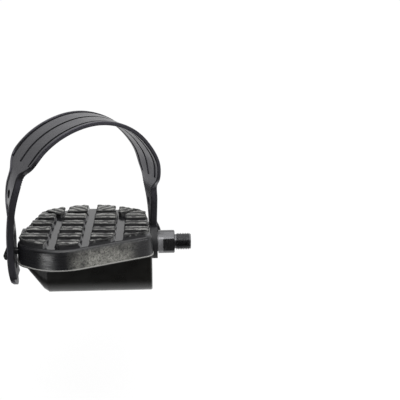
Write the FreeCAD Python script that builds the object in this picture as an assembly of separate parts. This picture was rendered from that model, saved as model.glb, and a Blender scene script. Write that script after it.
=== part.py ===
import FreeCAD, Part
import math
import os

V = FreeCAD.Vector

# All lengths in millimetres. The origin is on the spindle axis at the crank seat.
# X runs out of the threaded end, Y to the toe edge, Z up.

# Clearances
track_gap = 0.06
press_gap = 0.06
screw_gap = 0.05
run_gap = 0.3
seat_gap = 0.1
strap_gap = 0.7
collar_gap = 0.6

# Spindle
thread_r = 6.35
thread_len = 12.2
collar_r = 8.7
collar_len = 12.3
across_flats = 15.0
flat_len = 8.4
cutter_r = 7.6
end_r = 4.2
end_flat = 3.4

# Bearings: two rings of loose balls between cones and pressed cups
ball_r = 1.984
ball_ring_r = 7.6
ball_room = 0.35
race_step = 0.2
cup_wall = 0.8
cup_len = 5.6
cup_lip = 2.0
cone_len = 5.5
washer_t = 1.2
nut_t = 4.8
nut_flats = 12.0
seal_t = 2.4
seal_depth = 0.5
cap_t = 1.6
cap_plug = 3.5

# Platform plan
inner_x = -15.8
platform_len = 99.2
heel_y = -51.4
toe_y = 58.9
inner_heel_y = -19.8
inner_toe_y = 30.3
outer_heel_y = -30.4
outer_toe_y = 33.5
inner_skew = 4.7
outer_skew = 11.4
toe_r = 60.0
heel_r = 36.0
outer_r = 16.0
inner_toe_r = 14.0
inner_heel_r = 8.0

# Platform moulding
tube_wall = 1.4
boss_wall = 2.1
deck_cover = 0.2
deck_t = 3.0
skirt_drop = 2.8
wall_t = 2.8
draft = 0.5
rim_round = 3.2
rib_t = 2.0
rib_z = -1.0
rib_pitch = 25.0

# Tread blocks on the deck
tread_inset = 2.2
tread_h = 2.7
groove_w = 5.2
groove_pitch = 23.5
row_pitch = 13.8
row_gap = 4.5
row_front = 12.2
row_lean = -3.0
block_draft = 1.0
block_corner = 2.2
block_rim = 1.4
toe_gap_w = 2.2
toe_gap_open = 7.0
toe_step = 3.6
toe_line = [(47.0, 17.9), (35.5, 25.9), (23.5, 34.9), (19.8, 29.4)]

# Lower cover with the belly that hangs under the spindle
lip = 0.4
flange_t = 1.2
belly_half_w = 18.0
belly_drop = 36.5
belly_corner_r = 15.0
belly_proud = 0.4
belly_edge = 0.8
cover_wall = 2.2
nose_len = 14.6
nose_turn = 3.6
nose_rise = 20.0
nose_narrow = 3.6

# Counterweight in the belly
weight_len = 50.0
weight_x = -59.0
weight_below = 14.5
weight_stop = 8.0

# Cover screws
screw_r = 1.5
screw_head_r = 3.2
screw_head_t = 1.8
screw_grip = 8.8
post_wall = 1.9
screw_edge_x = 18.0
screw_edge_y = 1.3

# Strap and its two hooks
hook_out_y = -27.0
hook_out_z = 5.4
hook_out_lean = -3.0
hook_in_y = 22.8
hook_in_z = 4.5
hook_in_lean = -5.4
hook_neck_r = 2.6
hook_half_w = 3.0
hook_tip = 3.4
hook_play = 0.5
leg_w = 19.0
leg_t = 4.6
band_w = 45.0
band_w_in = 37.0
taper_run = 0.3
band_t = 2.4
neck_out_z = 63.0
neck_in_z = 40.5
neck_len = 7.0
neck_fade = 20.0
twist_out_z = 14.0
twist_in_z = 5.0
twist_top_z = 60.0
outer_tail = 25.4
tail_bend = 3.0
tail_thin = 2.6
tail_thin_z = -13.2
inner_tail = 7.0
slot_w = 3.0
slot_count = 3
slot_edge = 5.0
slot_out_z = 69.0
slot_in_z = 47.0
bead_w = 2.4
bead_h = 0.5
edge_r = 0.8
flex_r = 0.5
flex_pitch = 1.8
flex_count = 6
hole_play = 0.6
hole_pitch = 10.5
holes_up_out = 4
holes_up_in = 2
holes_down = 1
# Arch of the strap as share of the way between the hooks, height
arch = [
    (0.004, 22.0), (0.011, 38.0), (0.041, 54.0), (0.104, 69.2), (0.207, 81.8), (0.350, 90.9),
    (0.534, 95.2), (0.699, 91.8), (0.824, 83.6), (0.914, 72.2), (0.972, 59.0), (0.982, 44.0),
    (0.994, 30.0),
]

# Sizes that follow from the ones above
balls_per_ring = int(2 * math.pi * ball_ring_r / (2 * ball_r + ball_room))
shank_r = ball_ring_r - ball_r - race_step
land_r = ball_ring_r - race_step
cup_r = ball_ring_r + ball_r + cup_wall
tube_bore_r = shank_r + 2.6
tube_r = cup_r + tube_wall
boss_r = cup_r + boss_wall
boss_x = -collar_len - collar_gap
inner_ball_x = boss_x - seal_depth - seal_t - cup_lip - 3.2
deck_z = tube_r + deck_cover
skirt_z = -skirt_drop
tread_z = deck_z + tread_h
flange_z = skirt_z - flange_t
belly_bottom = -belly_drop
weight_top = -weight_below
weight_x0 = weight_x - weight_len / 2
weight_x1 = weight_x + weight_len / 2
outer_x = inner_x - platform_len
middle_x = (inner_x + outer_x) / 2 + 1.4
groove_xs = [middle_x + groove_pitch * i for i in (-1, 0, 1)]
hole_r = hook_neck_r + hole_play
screw_tip_z = flange_z + flange_t + screw_grip

# Plan corners as x, y, corner radius, going round anticlockwise
corners = [
    (inner_x, inner_heel_y, inner_heel_r),
    (inner_x - inner_skew, inner_toe_y, inner_toe_r),
    (middle_x - 0.5, toe_y, toe_r),
    (outer_x + outer_skew, outer_toe_y, outer_r),
    (outer_x, outer_heel_y, outer_r),
    (outer_x + 30.0, heel_y, heel_r),
]


def cyl_x(x0, x1, r):
    """Round bar along the spindle axis."""
    return Part.makeCylinder(r, abs(x1 - x0), V(min(x0, x1), 0, 0), V(1, 0, 0))


def box(x0, x1, y0, y1, z0, z1):
    """Upright block between two corners."""
    return Part.makeBox(x1 - x0, y1 - y0, z1 - z0, V(x0, y0, z0))


def lathe(profile):
    """Solid turned about the spindle axis from x, radius points."""
    points = [V(x, 0, r) for x, r in profile]
    face = Part.Face(Part.makePolygon(points + points[:1]))
    return face.revolve(V(0, 0, 0), V(1, 0, 0), 360)


def prism(points, z0, z1):
    """Upright solid over a plan polygon."""
    wire = Part.makePolygon([V(x, y, z0) for x, y in points + points[:1]])
    return Part.Face(wire).extrude(V(0, 0, z1 - z0))


def corner_arcs(z, grow):
    """Start, middle and end of the rounding at each plan corner, moved outwards by grow."""
    plan = [V(x, y, 0) for x, y, r in corners]
    count = len(plan)
    runs = [plan[(i + 1) % count] - plan[i] for i in range(count)]
    lengths = [run.Length for run in runs]
    along = [run.normalize() for run in runs]
    out = [V(d.y, -d.x, 0) for d in along]
    halves = [math.acos(along[i - 1].dot(along[i])) / 2 for i in range(count)]
    reach = [corners[i][2] * math.tan(halves[i]) for i in range(count)]
    room = [min(1, 0.98 * lengths[i] / (reach[i] + reach[(i + 1) % count])) for i in range(count)]
    arcs = []
    for i in range(count):
        d0, d1 = along[i - 1], along[i]
        n0, n1 = out[i - 1], out[i]
        corner = plan[i] + (n0 + n1) * (grow / (1 + n0.dot(n1))) + V(0, 0, z)
        r = corners[i][2] * min(room[i - 1], room[i]) + grow
        tangent = r * math.tan(halves[i])
        middle = corner + (d1 - d0).normalize() * (r / math.cos(halves[i]) - r)
        arcs.append((corner - d0 * tangent, middle, corner + d1 * tangent))
    return arcs


def outline(z, grow):
    """Rounded plan outline of the platform at height z, moved outwards by grow."""
    arcs = corner_arcs(z, grow)
    edges = []
    for i, (start, middle, end) in enumerate(arcs):
        edges.append(Part.Arc(start, middle, end).toShape())
        edges.append(Part.makeLine(end, arcs[(i + 1) % len(arcs)][0]))
    return Part.Wire(edges)


def drafted(z0, z1, grow0, grow1):
    """Solid between two platform outlines."""
    return Part.makeLoft([outline(z0, grow0), outline(z1, grow1)], True, True)


def wall_x(y, half, way):
    """Outermost wall place along X within a strip of the plan; way picks the inner or outer wall."""
    slab = Part.Face(outline(0, 0)).extrude(V(0, 0, 1))
    span = slab.common(box(-400, 100, y - half, y + half, 0, 1)).BoundBox
    return span.XMax if way > 0 else span.XMin


# Places set by the walls of the plan
outer_wall_x = wall_x(0, 0.1, -1)
belly_x = wall_x(0, 0.1, 1) + belly_proud
tube_end_x = outer_wall_x - 2.7
outer_ball_x = tube_end_x + 20.3
cone_end_x = outer_ball_x - cone_len
washer_end_x = cone_end_x - washer_t
nut_end_x = washer_end_x - nut_t
spindle_end_x = nut_end_x - 1.5
nose_end_x = outer_wall_x + 0.6
nose_x = nose_end_x + nose_len
hook_out = V(wall_x(hook_out_y, leg_w / 2, -1), hook_out_y, hook_out_z)
hook_in = V(wall_x(hook_in_y, 0.1, 1), hook_in_y, hook_in_z)
rib_xs = [middle_x + rib_pitch * i for i in (-1, 0, 1)]
side_y = belly_half_w + screw_head_r
screw_places = [
    (outer_x + screw_edge_x, -side_y - 7 * screw_edge_y),
    (outer_x + screw_edge_x, side_y + 2 * screw_edge_y),
    (inner_x - screw_edge_x, side_y + 4 * screw_edge_y),
    (inner_x - screw_edge_x - 2, -side_y - screw_edge_y),
]


def ball_track(x):
    """Ring that the balls run in, used to hollow the races."""
    return Part.makeTorus(ball_ring_r, ball_r + track_gap, V(x, 0, 0), V(1, 0, 0))


def wrench_flat(turn):
    """Cutter for one wrench flat, with the round run-out of its milling cutter."""
    tall = 4 * collar_r
    slab = box(-flat_len, 1, across_flats / 2, tall, -tall / 2, tall / 2)
    scoop = Part.makeCylinder(cutter_r, tall, V(-flat_len, across_flats / 2 + cutter_r, -tall / 2))
    cutter = slab.fuse(scoop)
    cutter.rotate(V(0, 0, 0), V(1, 0, 0), turn)
    return cutter


def spindle():
    """Turned spindle: crank thread, collar with two wrench flats, ball race, threaded end."""
    step_x = outer_ball_x + ball_r
    tip = 0.6
    bar = lathe([
        (thread_len, 0), (thread_len, thread_r - 1.0), (thread_len - 1.0, thread_r),
        (0, thread_r), (0, collar_r - tip), (-tip, collar_r), (-collar_len, collar_r),
        (-collar_len, land_r), (inner_ball_x, land_r), (inner_ball_x, shank_r),
        (step_x, shank_r), (step_x, end_r),
        (spindle_end_x + tip, end_r), (spindle_end_x, end_r - tip), (spindle_end_x, 0),
    ])
    keyway = box(spindle_end_x - 1, outer_ball_x - ball_r, -end_r, end_r, end_flat, 2 * end_r)
    return bar.cut([wrench_flat(0), wrench_flat(180), ball_track(inner_ball_x), keyway])


def ball(x, index):
    """One bearing ball at its place in the ring."""
    turn = 2 * math.pi * index / balls_per_ring
    return Part.makeSphere(ball_r, V(x, ball_ring_r * math.cos(turn), ball_ring_r * math.sin(turn)))


def cup(x, way):
    """Pressed bearing cup; its open mouth faces along way."""
    x0, x1 = x + way * cup_lip, x + way * (cup_lip - cup_len)
    mouth = cyl_x(x, x0, ball_ring_r + ball_r + track_gap)
    return cyl_x(x0, x1, cup_r - press_gap).cut([cyl_x(x0, x1, shank_r + 1.2), mouth, ball_track(x)])


def outer_cone():
    """Adjusting cone that closes the outer ball ring, slotted across its end for the wrench."""
    body = cyl_x(outer_ball_x, cone_end_x, land_r)
    slots = []
    for turn in (45, 135):
        slot = box(cone_end_x - 1, cone_end_x + 1.4, -1.2, 1.2, -2 * land_r, 2 * land_r)
        slot.rotate(V(0, 0, 0), V(1, 0, 0), turn)
        slots.append(slot)
    bore = cyl_x(outer_ball_x, cone_end_x, end_r + screw_gap)
    return body.cut([ball_track(outer_ball_x), bore] + slots)


def keyed_washer():
    """Washer with a flat in its bore, so the lock nut can't turn the cone."""
    bore = cyl_x(cone_end_x, washer_end_x, end_r + screw_gap)
    key = box(washer_end_x - 1, cone_end_x + 1, -end_r, end_r, end_flat + screw_gap, 2 * end_r)
    return cyl_x(cone_end_x, washer_end_x, land_r - race_step).cut(bore.cut(key))


def lock_nut():
    """Hexagon nut at the outer end of the spindle, corners chamfered on the outside."""
    r = nut_flats / math.sqrt(3)
    turns = [i * math.pi / 3 for i in range(7)]
    points = [V(washer_end_x, r * math.cos(t), r * math.sin(t)) for t in turns]
    bar = Part.Face(Part.makePolygon(points)).extrude(V(-nut_t, 0, 0))
    rim = nut_end_x + 0.9
    cap = lathe([(washer_end_x, 0), (washer_end_x, r), (rim, r), (nut_end_x, r - 1.2), (nut_end_x, 0)])
    return bar.common(cap).cut(cyl_x(washer_end_x, nut_end_x, end_r + screw_gap))


def dust_seal():
    """Rubber ring in the mouth of the inner boss."""
    x0 = boss_x - seal_depth
    return cyl_x(x0, x0 - seal_t, cup_r - press_gap).cut(cyl_x(x0, x0 - seal_t, land_r + run_gap))


def dust_cap():
    """Plug that closes the outer end of the bearing tube."""
    x0, x1 = tube_end_x, tube_end_x + cap_plug
    plug = cyl_x(x0, x1, cup_r - press_gap).cut(cyl_x(x0, x1, cup_r - cap_t))
    top = x0 - cap_t
    lid = lathe([(x0, 0), (x0, tube_r), (x0 - cap_t / 2, tube_r), (top, tube_r - cap_t), (top, 0)])
    return plug.fuse(lid).removeSplitter()


def toe_path(drop):
    """Forked line that divides the toe blocks from the rows, moved to the heel by drop."""
    line = [(middle_x + dx, toe_y - dy - drop) for dx, dy in toe_line]
    return line + [(middle_x - dx, toe_y - dy - drop) for dx, dy in reversed(toe_line)]


def inside_rim():
    """Space over the deck inside the rim that joins the blocks along the edge."""
    return Part.Face(outline(deck_z, -tread_inset - block_rim)).extrude(V(0, 0, tread_h + 1))


def toe_gaps():
    """Forked gap in front of the toe blocks and the two narrow gaps between them."""
    top = tread_z + 1
    fork = prism(toe_path(0) + toe_path(row_gap)[::-1], deck_z, top)
    gaps = [fork.common(inside_rim())]
    start, half, open_half = toe_y - toe_line[-1][1] - row_gap / 2, toe_gap_w / 2, toe_gap_open / 2
    for x in (groove_xs[0] + toe_step, groove_xs[2] - toe_step):
        plan = [(x - half, start), (x + half, start), (x + open_half, toe_y), (x - open_half, toe_y)]
        gaps.append(prism(plan, deck_z, top))
    return gaps


def channel(width, length):
    """Straight groove cutter along Y, wider at the top by the draft of its walls."""
    slope = block_draft / tread_h
    top = tread_z + 1
    half, top_half = width / 2, width / 2 + slope * (top - deck_z)
    side = [V(-half, 0, deck_z), V(half, 0, deck_z), V(top_half, 0, top), V(-top_half, 0, top)]
    solid = Part.Face(Part.makePolygon(side + side[:1])).extrude(V(0, length, 0))
    solid.translate(V(0, -length / 2, 0))
    return solid


def gap_y(x, index):
    """Middle of a cross gap where it meets that place along X."""
    return row_front - row_gap / 2 - index * row_pitch + (x - middle_x) * math.tan(math.radians(row_lean))


def corner_cut(x, y):
    """Cutter that takes the corners off the four blocks round a crossing."""
    reach = groove_w / 2 + row_gap / 2 + block_corner
    return prism([(x - reach, y), (x, y - reach), (x + reach, y), (x, y + reach)], deck_z, tread_z + 1)


def row_cuts():
    """Side grooves and leaning cross gaps, kept to the area in front of the forked gap."""
    far = 2 * platform_len
    cuts = []
    for x in (groove_xs[0], groove_xs[2]):
        cut = channel(groove_w, far)
        cut.translate(V(x, 0, 0))
        cuts.append(cut)
    for i in range(int((row_front - heel_y) / row_pitch) + 1):
        gap = channel(row_gap, far)
        gap.rotate(V(0, 0, 0), V(0, 0, 1), 90 + row_lean)
        gap.translate(V(middle_x, gap_y(middle_x, i), 0))
        cuts.append(gap.common(inside_rim()))
        cuts += [corner_cut(x, gap_y(x, i)) for x in groove_xs]
    edge = [(middle_x - far, -far), (middle_x + far, -far)]
    zone = prism(toe_path(row_gap / 2) + edge, deck_z, tread_z + 1)
    return [cut.common(zone) for cut in cuts]


def tread():
    """Raised tread blocks: columns between smooth grooves, rows between cross gaps."""
    pad = Part.Face(outline(deck_z - 1, -tread_inset)).extrude(V(0, 0, tread_h + 1))
    middle = channel(groove_w, 4 * toe_y)
    middle.translate(V(groove_xs[1], 0, 0))
    return pad.cut(row_cuts() + [middle] + toe_gaps())


def hook(place, lean, way):
    """Moulded hook: round neck through the strap hole and a lip turned down in front of it."""
    face = strap_gap + leg_t + hook_play
    tip = face + hook_tip
    drop = hook_neck_r + 3.2
    neck = Part.makeCylinder(hook_neck_r, face + wall_t, V(-wall_t / 2 - 0.7, 0, 0), V(1, 0, 0))
    side = [(face, hook_neck_r + 2.8), (tip - 0.6, -1.0), (tip, -2.6), (tip - 0.6, 1.0 - drop),
            (tip - 1.4, -drop), (face + 0.6, -drop), (face, 1.2 - drop)]
    points = [V(x, -hook_half_w, z) for x, z in side]
    beak = Part.Face(Part.makePolygon(points + points[:1])).extrude(V(0, 2 * hook_half_w, 0))
    solid = neck.fuse(beak)
    if way < 0:
        solid.rotate(V(0, 0, 0), V(0, 0, 1), 180)
    solid.rotate(V(0, 0, 0), V(0, 0, 1), -lean)
    solid.translate(place)
    return solid


def stiffeners():
    """Ribs under the deck and posts for the cover screws, kept inside the skirt."""
    top = deck_z - deck_t / 2
    far = 2 * platform_len
    parts = [box(x - rib_t / 2, x + rib_t / 2, -far, far, rib_z, top) for x in rib_xs]
    parts += [box(-far, 0, y - rib_t / 2, y + rib_t / 2, rib_z, top) for y in (-rib_pitch, rib_pitch)]
    for x, y in screw_places:
        parts.append(Part.makeCylinder(screw_r + post_wall, top - skirt_z, V(x, y, skirt_z)))
    inside = drafted(skirt_z, top, -wall_t / 2, -wall_t / 2 - draft)
    return [part.common(inside) for part in parts]


def platform():
    """One moulding: deck, skirt, tread, ribs, bearing tube, screw posts and strap hooks."""
    block = drafted(skirt_z, deck_z, 0, -draft)
    rim = [e for e in block.Edges if all(abs(v.Z - deck_z) < 0.01 for v in e.Vertexes)]
    block = block.makeFillet(rim_round, rim)
    hollow = drafted(skirt_z, deck_z - deck_t, -wall_t, -wall_t - draft)
    added = stiffeners() + tread().Solids
    for x in (weight_x - weight_len / 4, weight_x + weight_len / 4):
        added.append(box(x - rib_t / 2, x + rib_t / 2, -8, 8, weight_top + seat_gap, -tube_bore_r - 1))
    added.append(cyl_x(tube_end_x, belly_x - 2, tube_r))
    added.append(cyl_x(belly_x - 3, boss_x, boss_r))
    added.append(hook(hook_out, hook_out_lean, -1))
    added.append(hook(hook_in, hook_in_lean, 1))
    body = block.cut(hollow).fuse(added)
    inner_seat_x = inner_ball_x + cup_lip - cup_len
    outer_seat_x = outer_ball_x - cup_lip + cup_len
    bores = [
        cyl_x(boss_x, inner_seat_x, cup_r),
        cyl_x(inner_seat_x, outer_seat_x, tube_bore_r),
        cyl_x(outer_seat_x, tube_end_x, cup_r),
    ]
    for x, y in screw_places:
        bores.append(Part.makeCylinder(screw_r + screw_gap, screw_tip_z + 1 - skirt_z, V(x, y, skirt_z)))
    return body.cut(bores).removeSplitter()


def u_wire(x, half_w, bottom, corner_r, top):
    """Trough section across the spindle axis."""
    k = corner_r * math.sqrt(0.5)
    left, right = -half_w + corner_r, half_w - corner_r
    low = bottom + corner_r
    edges = [
        Part.makeLine(V(x, -half_w, top), V(x, -half_w, low)),
        Part.Arc(V(x, -half_w, low), V(x, left - k, low - k), V(x, left, bottom)).toShape(),
        Part.makeLine(V(x, left, bottom), V(x, right, bottom)),
        Part.Arc(V(x, right, bottom), V(x, right + k, low - k), V(x, half_w, low)).toShape(),
        Part.makeLine(V(x, half_w, low), V(x, half_w, top)),
        Part.makeLine(V(x, half_w, top), V(x, -half_w, top)),
    ]
    return Part.Wire(edges)


def trough(inset, top):
    """Belly solid with its sloping nose, all faces moved in by inset."""
    half_w = belly_half_w - inset
    bottom = belly_bottom + inset
    corner_r = belly_corner_r - inset
    turn = nose_turn / nose_len
    soft = belly_edge
    wires = [
        u_wire(belly_x - inset, half_w - soft, bottom + soft, corner_r - soft, top),
        u_wire(belly_x - inset - soft, half_w, bottom, corner_r, top),
        u_wire(nose_x, half_w, bottom, corner_r, top),
        u_wire(nose_x - nose_turn, half_w - 0.8 * turn * nose_narrow, bottom + 0.53 * turn * nose_rise,
               corner_r - 0.8, top),
        u_wire(nose_end_x + inset, half_w - nose_narrow, bottom + nose_rise, corner_r - 8.6, top),
    ]
    return Part.makeLoft(wires, True, True)


def lower_cover():
    """Moulded cover: thin flange under the skirt and the belly that holds the weight."""
    flange = Part.Face(outline(flange_z, lip)).extrude(V(0, 0, flange_t))
    body = flange.fuse(trough(0, skirt_z)).cut(trough(cover_wall, skirt_z + 1))
    wall_middle = trough(cover_wall / 2, skirt_z)
    stops = []
    for x in (weight_x0 - rib_t - seat_gap, weight_x1 + seat_gap):
        stop = box(x, x + rib_t, -belly_drop, belly_drop, belly_bottom, weight_top - weight_stop)
        stops.append(stop.common(wall_middle))
    cuts = [
        cyl_x(belly_x - 3 - run_gap, 0, boss_r + run_gap),
        cyl_x(tube_end_x - cap_t - 1, 0, tube_r + run_gap),
    ]
    for x, y in screw_places:
        cuts.append(Part.makeCylinder(screw_r + run_gap, 3 * flange_t, V(x, y, flange_z - flange_t)))
    return body.fuse(stops).cut(cuts).removeSplitter()


def counterweight():
    """Cast block that keeps the tread side of the pedal up."""
    inset = cover_wall + seat_gap
    wire = u_wire(weight_x0, belly_half_w - inset, belly_bottom + inset, belly_corner_r - inset, weight_top)
    return Part.Face(wire).extrude(V(weight_len, 0, 0))


def cover_screws():
    """Pan head screws from below, one group."""
    screws = []
    for x, y in screw_places:
        head = Part.makeCylinder(screw_head_r, screw_head_t, V(x, y, flange_z - screw_head_t))
        low = [e for e in head.Edges if e.BoundBox.ZMax < flange_z - screw_head_t + 0.01]
        head = head.makeFillet(screw_head_t / 2, low)
        shank = Part.makeCylinder(screw_r, screw_tip_z - flange_z, V(x, y, flange_z))
        screws.append(head.fuse(shank).removeSplitter())
    return Part.makeCompound(screws)


def strap_anchor(place, lean, way):
    """Middle of the strap where it passes over a hook."""
    off = way * (strap_gap + leg_t / 2)
    turn = math.radians(lean)
    return place + V(off * math.cos(turn), -off * math.sin(turn), 0)


strap_a = strap_anchor(hook_out, hook_out_lean, -1)
strap_b = strap_anchor(hook_in, hook_in_lean, 1)


def strap_spine():
    """Curve along the middle of the strap: straight legs on the hooks and the skewed arch."""
    span = V(strap_b.x - strap_a.x, strap_b.y - strap_a.y, 0)
    foot = V(strap_a.x, strap_a.y, 0)
    knee_z = flange_z - flange_t
    points = [strap_a + V(tail_bend, 0, -outer_tail), V(strap_a.x, strap_a.y, knee_z), strap_a]
    points += [foot + span * share + V(0, 0, z) for share, z in arch]
    points += [strap_b, strap_b - V(0, 0, inner_tail)]
    curve = Part.BSplineCurve()
    curve.interpolate(points)
    return curve


def blend(t):
    """Smooth step from 0 to 1."""
    t = min(max(t, 0.0), 1.0)
    return t * t * (3 - 2 * t)


def strap_frame(curve, u):
    """Place, width direction, outward normal, half width and half thickness.

    Both shoulders of the outer neck are square; on the far side of the inner neck the width fades out.
    """
    place = curve.value(u)
    tangent = V(*curve.tangent(u)[0])
    skew = -math.degrees(math.atan2(strap_b.y - strap_a.y, strap_b.x - strap_a.x))
    along = (u - curve.FirstParameter) / (curve.LastParameter - curve.FirstParameter)
    on_outer = along < 0.5
    lean = hook_out_lean if on_outer else hook_in_lean
    low_z = twist_out_z if on_outer else twist_in_z
    turned = blend((place.z - low_z) / (twist_top_z - low_z))
    turn = math.radians(lean + (skew - lean) * turned)
    across = V(math.sin(turn), math.cos(turn), 0)
    normal = tangent.cross(across).normalize()
    across = normal.cross(tangent).normalize()
    neck_z = neck_out_z if on_outer else neck_in_z
    wide = blend((place.z - neck_z) / neck_len)
    fading = blend((place.z - neck_z + neck_len / 3) / neck_fade)
    band = band_w + (band_w_in - band_w) * blend((along - 0.5) / taper_run)
    square = (leg_w + (band - leg_w) * wide) / 2
    slanted = (leg_w + (band - leg_w) * fading) / 2
    far, near = (square if on_outer else slanted), square
    half_t = (leg_t + (band_t - leg_t) * wide) / 2
    return place + across * ((far - near) / 2), across, normal, (far + near) / 2, half_t


def strap_wire(frame):
    """Section across the strap: soft edges and a raised bead along both of them."""
    place, across, normal, half_w, half_t = frame
    r, rise = edge_r, bead_h
    k = r * (1 - math.sqrt(0.5))
    low, high = -half_t, half_t + rise
    bead = half_w - bead_w
    foot = bead - rise / 2

    def at(i, j):
        return place + across * i + normal * j

    def half(side):
        """Points up one side, from the bottom to the inner foot of its bead."""
        bottom = [at(side * (half_w - r), low), at(side * (half_w - k), low + k), at(side * half_w, low + r)]
        top = [at(side * half_w, high - r), at(side * (half_w - k), high - k), at(side * (half_w - r), high)]
        return bottom, top, at(side * bead, high), at(side * foot, half_t)

    bottom0, top0, crest0, foot0 = half(1)
    bottom1, top1, crest1, foot1 = half(-1)
    edges = [
        Part.Arc(*bottom0).toShape(), Part.makeLine(bottom0[2], top0[0]), Part.Arc(*top0).toShape(),
        Part.makeLine(top0[2], crest0), Part.makeLine(crest0, foot0), Part.makeLine(foot0, foot1),
        Part.makeLine(foot1, crest1), Part.makeLine(crest1, top1[2]), Part.Arc(*top1[::-1]).toShape(),
        Part.makeLine(top1[0], bottom1[2]), Part.Arc(*bottom1[::-1]).toShape(),
        Part.makeLine(bottom1[0], bottom0[0]),
    ]
    return Part.Wire(edges)


def slot_wire(frame, side):
    """Section of a slot cutter; side says where it lies between the two beads."""
    place, across, normal, half_w, half_t = frame
    middle = place + across * (side * (half_w - slot_edge))
    w, t = slot_w / 2, 2 * half_t
    ends = [middle + across * (i * w) + normal * (j * t) for i, j in ((-1, -1), (1, -1), (1, 1), (-1, 1))]
    return Part.makePolygon(ends + ends[:1])


def tail_round(anchor, tail):
    """Cutter that rounds the free end of a strap leg."""
    r = leg_w / 2
    reach = 3 * leg_t
    low = anchor.z - tail
    block = box(anchor.x - reach, anchor.x + reach, anchor.y - leg_w, anchor.y + leg_w, low - 2, low + r)
    return block.cut(Part.makeCylinder(r, 2 * reach, V(anchor.x - reach, anchor.y, low + r), V(1, 0, 0)))


def thin_tail(curve):
    """Cutter that thins the free end of the outer leg from the inside."""
    start = curve.FirstParameter
    u = curve.parameterAtDistance(tail_thin_z - strap_a.z + outer_tail, start)
    place, across, normal, half_w, half_t = strap_frame(curve, u)
    down = V(*curve.tangent(u)[0]) * -outer_tail
    side = across * (2 * half_w)
    corner = place + normal * (half_t - tail_thin) - side / 2
    face = Part.Face(Part.makePolygon([corner, corner + side, corner + side + down, corner + down, corner]))
    return face.extrude(normal * (-2 * leg_t))


def strap_holes(curve):
    """Cutters for the rows of holes in both legs, square to the strap."""
    cutters = []
    for anchor, way, count in ((strap_a, 1, holes_up_out), (strap_b, -1, holes_up_in)):
        start = curve.parameter(anchor)
        for i in range(-holes_down, count + 1):
            u = curve.parameterAtDistance(way * i * hole_pitch, start)
            if curve.FirstParameter < u < curve.LastParameter:
                place, across, normal = strap_frame(curve, u)[:3]
                cutters.append(Part.makeCylinder(hole_r, 4 * leg_t, place - normal * (2 * leg_t), normal))
    return cutters


def flex_grooves(curve):
    """Cutters for the fine cross grooves on the inside of both necks, where the strap bends."""
    cutters = []
    for anchor, way, top_z in ((strap_a, 1, neck_out_z), (strap_b, -1, neck_in_z)):
        start = curve.parameter(anchor)
        for i in range(flex_count):
            rise = top_z + flex_pitch - anchor.z - i * flex_pitch
            u = curve.parameterAtDistance(way * rise, start)
            place, across, normal, half_w, half_t = strap_frame(curve, u)
            end = place - normal * half_t - across * (half_w + leg_t)
            cutters.append(Part.makeCylinder(flex_r, 2 * (half_w + leg_t), end, across))
    return cutters


def spread(first, last, count):
    """Even steps from first to last."""
    return [first + (last - first) * i / (count - 1) for i in range(count)]


def slot_range(curve):
    """First and last place along the strap where the slots are open."""
    ends = spread(curve.FirstParameter, curve.LastParameter, 400)
    limits = [slot_out_z] * 200 + [slot_in_z] * 200
    inside = [u for u, limit in zip(ends, limits) if curve.value(u).z > limit]
    return inside[0], inside[-1]


def strap():
    """Moulded strap: wide slotted middle, legs that twist onto the hooks, rows of holes."""
    curve = strap_spine()
    frames = [strap_frame(curve, u) for u in spread(curve.FirstParameter, curve.LastParameter, 41)]
    body = Part.makeLoft([strap_wire(frame) for frame in frames], True, False)
    cuts = strap_holes(curve) + flex_grooves(curve)
    cuts += [tail_round(strap_a, outer_tail), tail_round(strap_b, inner_tail), thin_tail(curve)]
    slotted = [strap_frame(curve, u) for u in spread(*slot_range(curve), 21)]
    for side in spread(-1.0, 1.0, slot_count):
        cuts.append(Part.makeLoft([slot_wire(frame, side) for frame in slotted], True, False))
    return body.cut(cuts)


os.makedirs("parts", exist_ok=True)
pieces = {
    "spindle": spindle(),
    "outer_cone": outer_cone(),
    "keyed_washer": keyed_washer(),
    "lock_nut": lock_nut(),
    "inner_cup": cup(inner_ball_x, 1),
    "outer_cup": cup(outer_ball_x, -1),
    "dust_seal": dust_seal(),
    "dust_cap": dust_cap(),
    "platform": platform(),
    "lower_cover": lower_cover(),
    "counterweight": counterweight(),
    "cover_screws": cover_screws(),
    "strap": strap(),
}
for index in range(balls_per_ring):
    pieces["inner_ball_%d" % (index + 1)] = ball(inner_ball_x, index)
    pieces["outer_ball_%d" % (index + 1)] = ball(outer_ball_x, index)
for name, shape in pieces.items():
    shape.exportStep("parts/%s.step" % name)
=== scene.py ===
import math

import bmesh
import bpy
from mathutils import Matrix, Vector, kdtree, noise


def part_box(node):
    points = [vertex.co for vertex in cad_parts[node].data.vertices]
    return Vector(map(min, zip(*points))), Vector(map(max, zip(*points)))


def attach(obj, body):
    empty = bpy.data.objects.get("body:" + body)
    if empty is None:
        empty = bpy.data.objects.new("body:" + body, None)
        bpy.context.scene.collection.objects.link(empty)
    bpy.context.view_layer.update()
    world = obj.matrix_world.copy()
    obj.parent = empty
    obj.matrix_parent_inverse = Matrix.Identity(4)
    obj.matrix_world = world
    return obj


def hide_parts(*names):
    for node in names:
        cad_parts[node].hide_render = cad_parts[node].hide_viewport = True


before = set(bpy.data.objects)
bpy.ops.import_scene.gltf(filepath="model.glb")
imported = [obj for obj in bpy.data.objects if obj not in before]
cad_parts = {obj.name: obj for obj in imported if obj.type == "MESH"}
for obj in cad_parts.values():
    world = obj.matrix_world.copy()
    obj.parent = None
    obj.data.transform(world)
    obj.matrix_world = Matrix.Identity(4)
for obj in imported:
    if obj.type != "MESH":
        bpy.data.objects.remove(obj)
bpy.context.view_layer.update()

MM = 0.001

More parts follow.
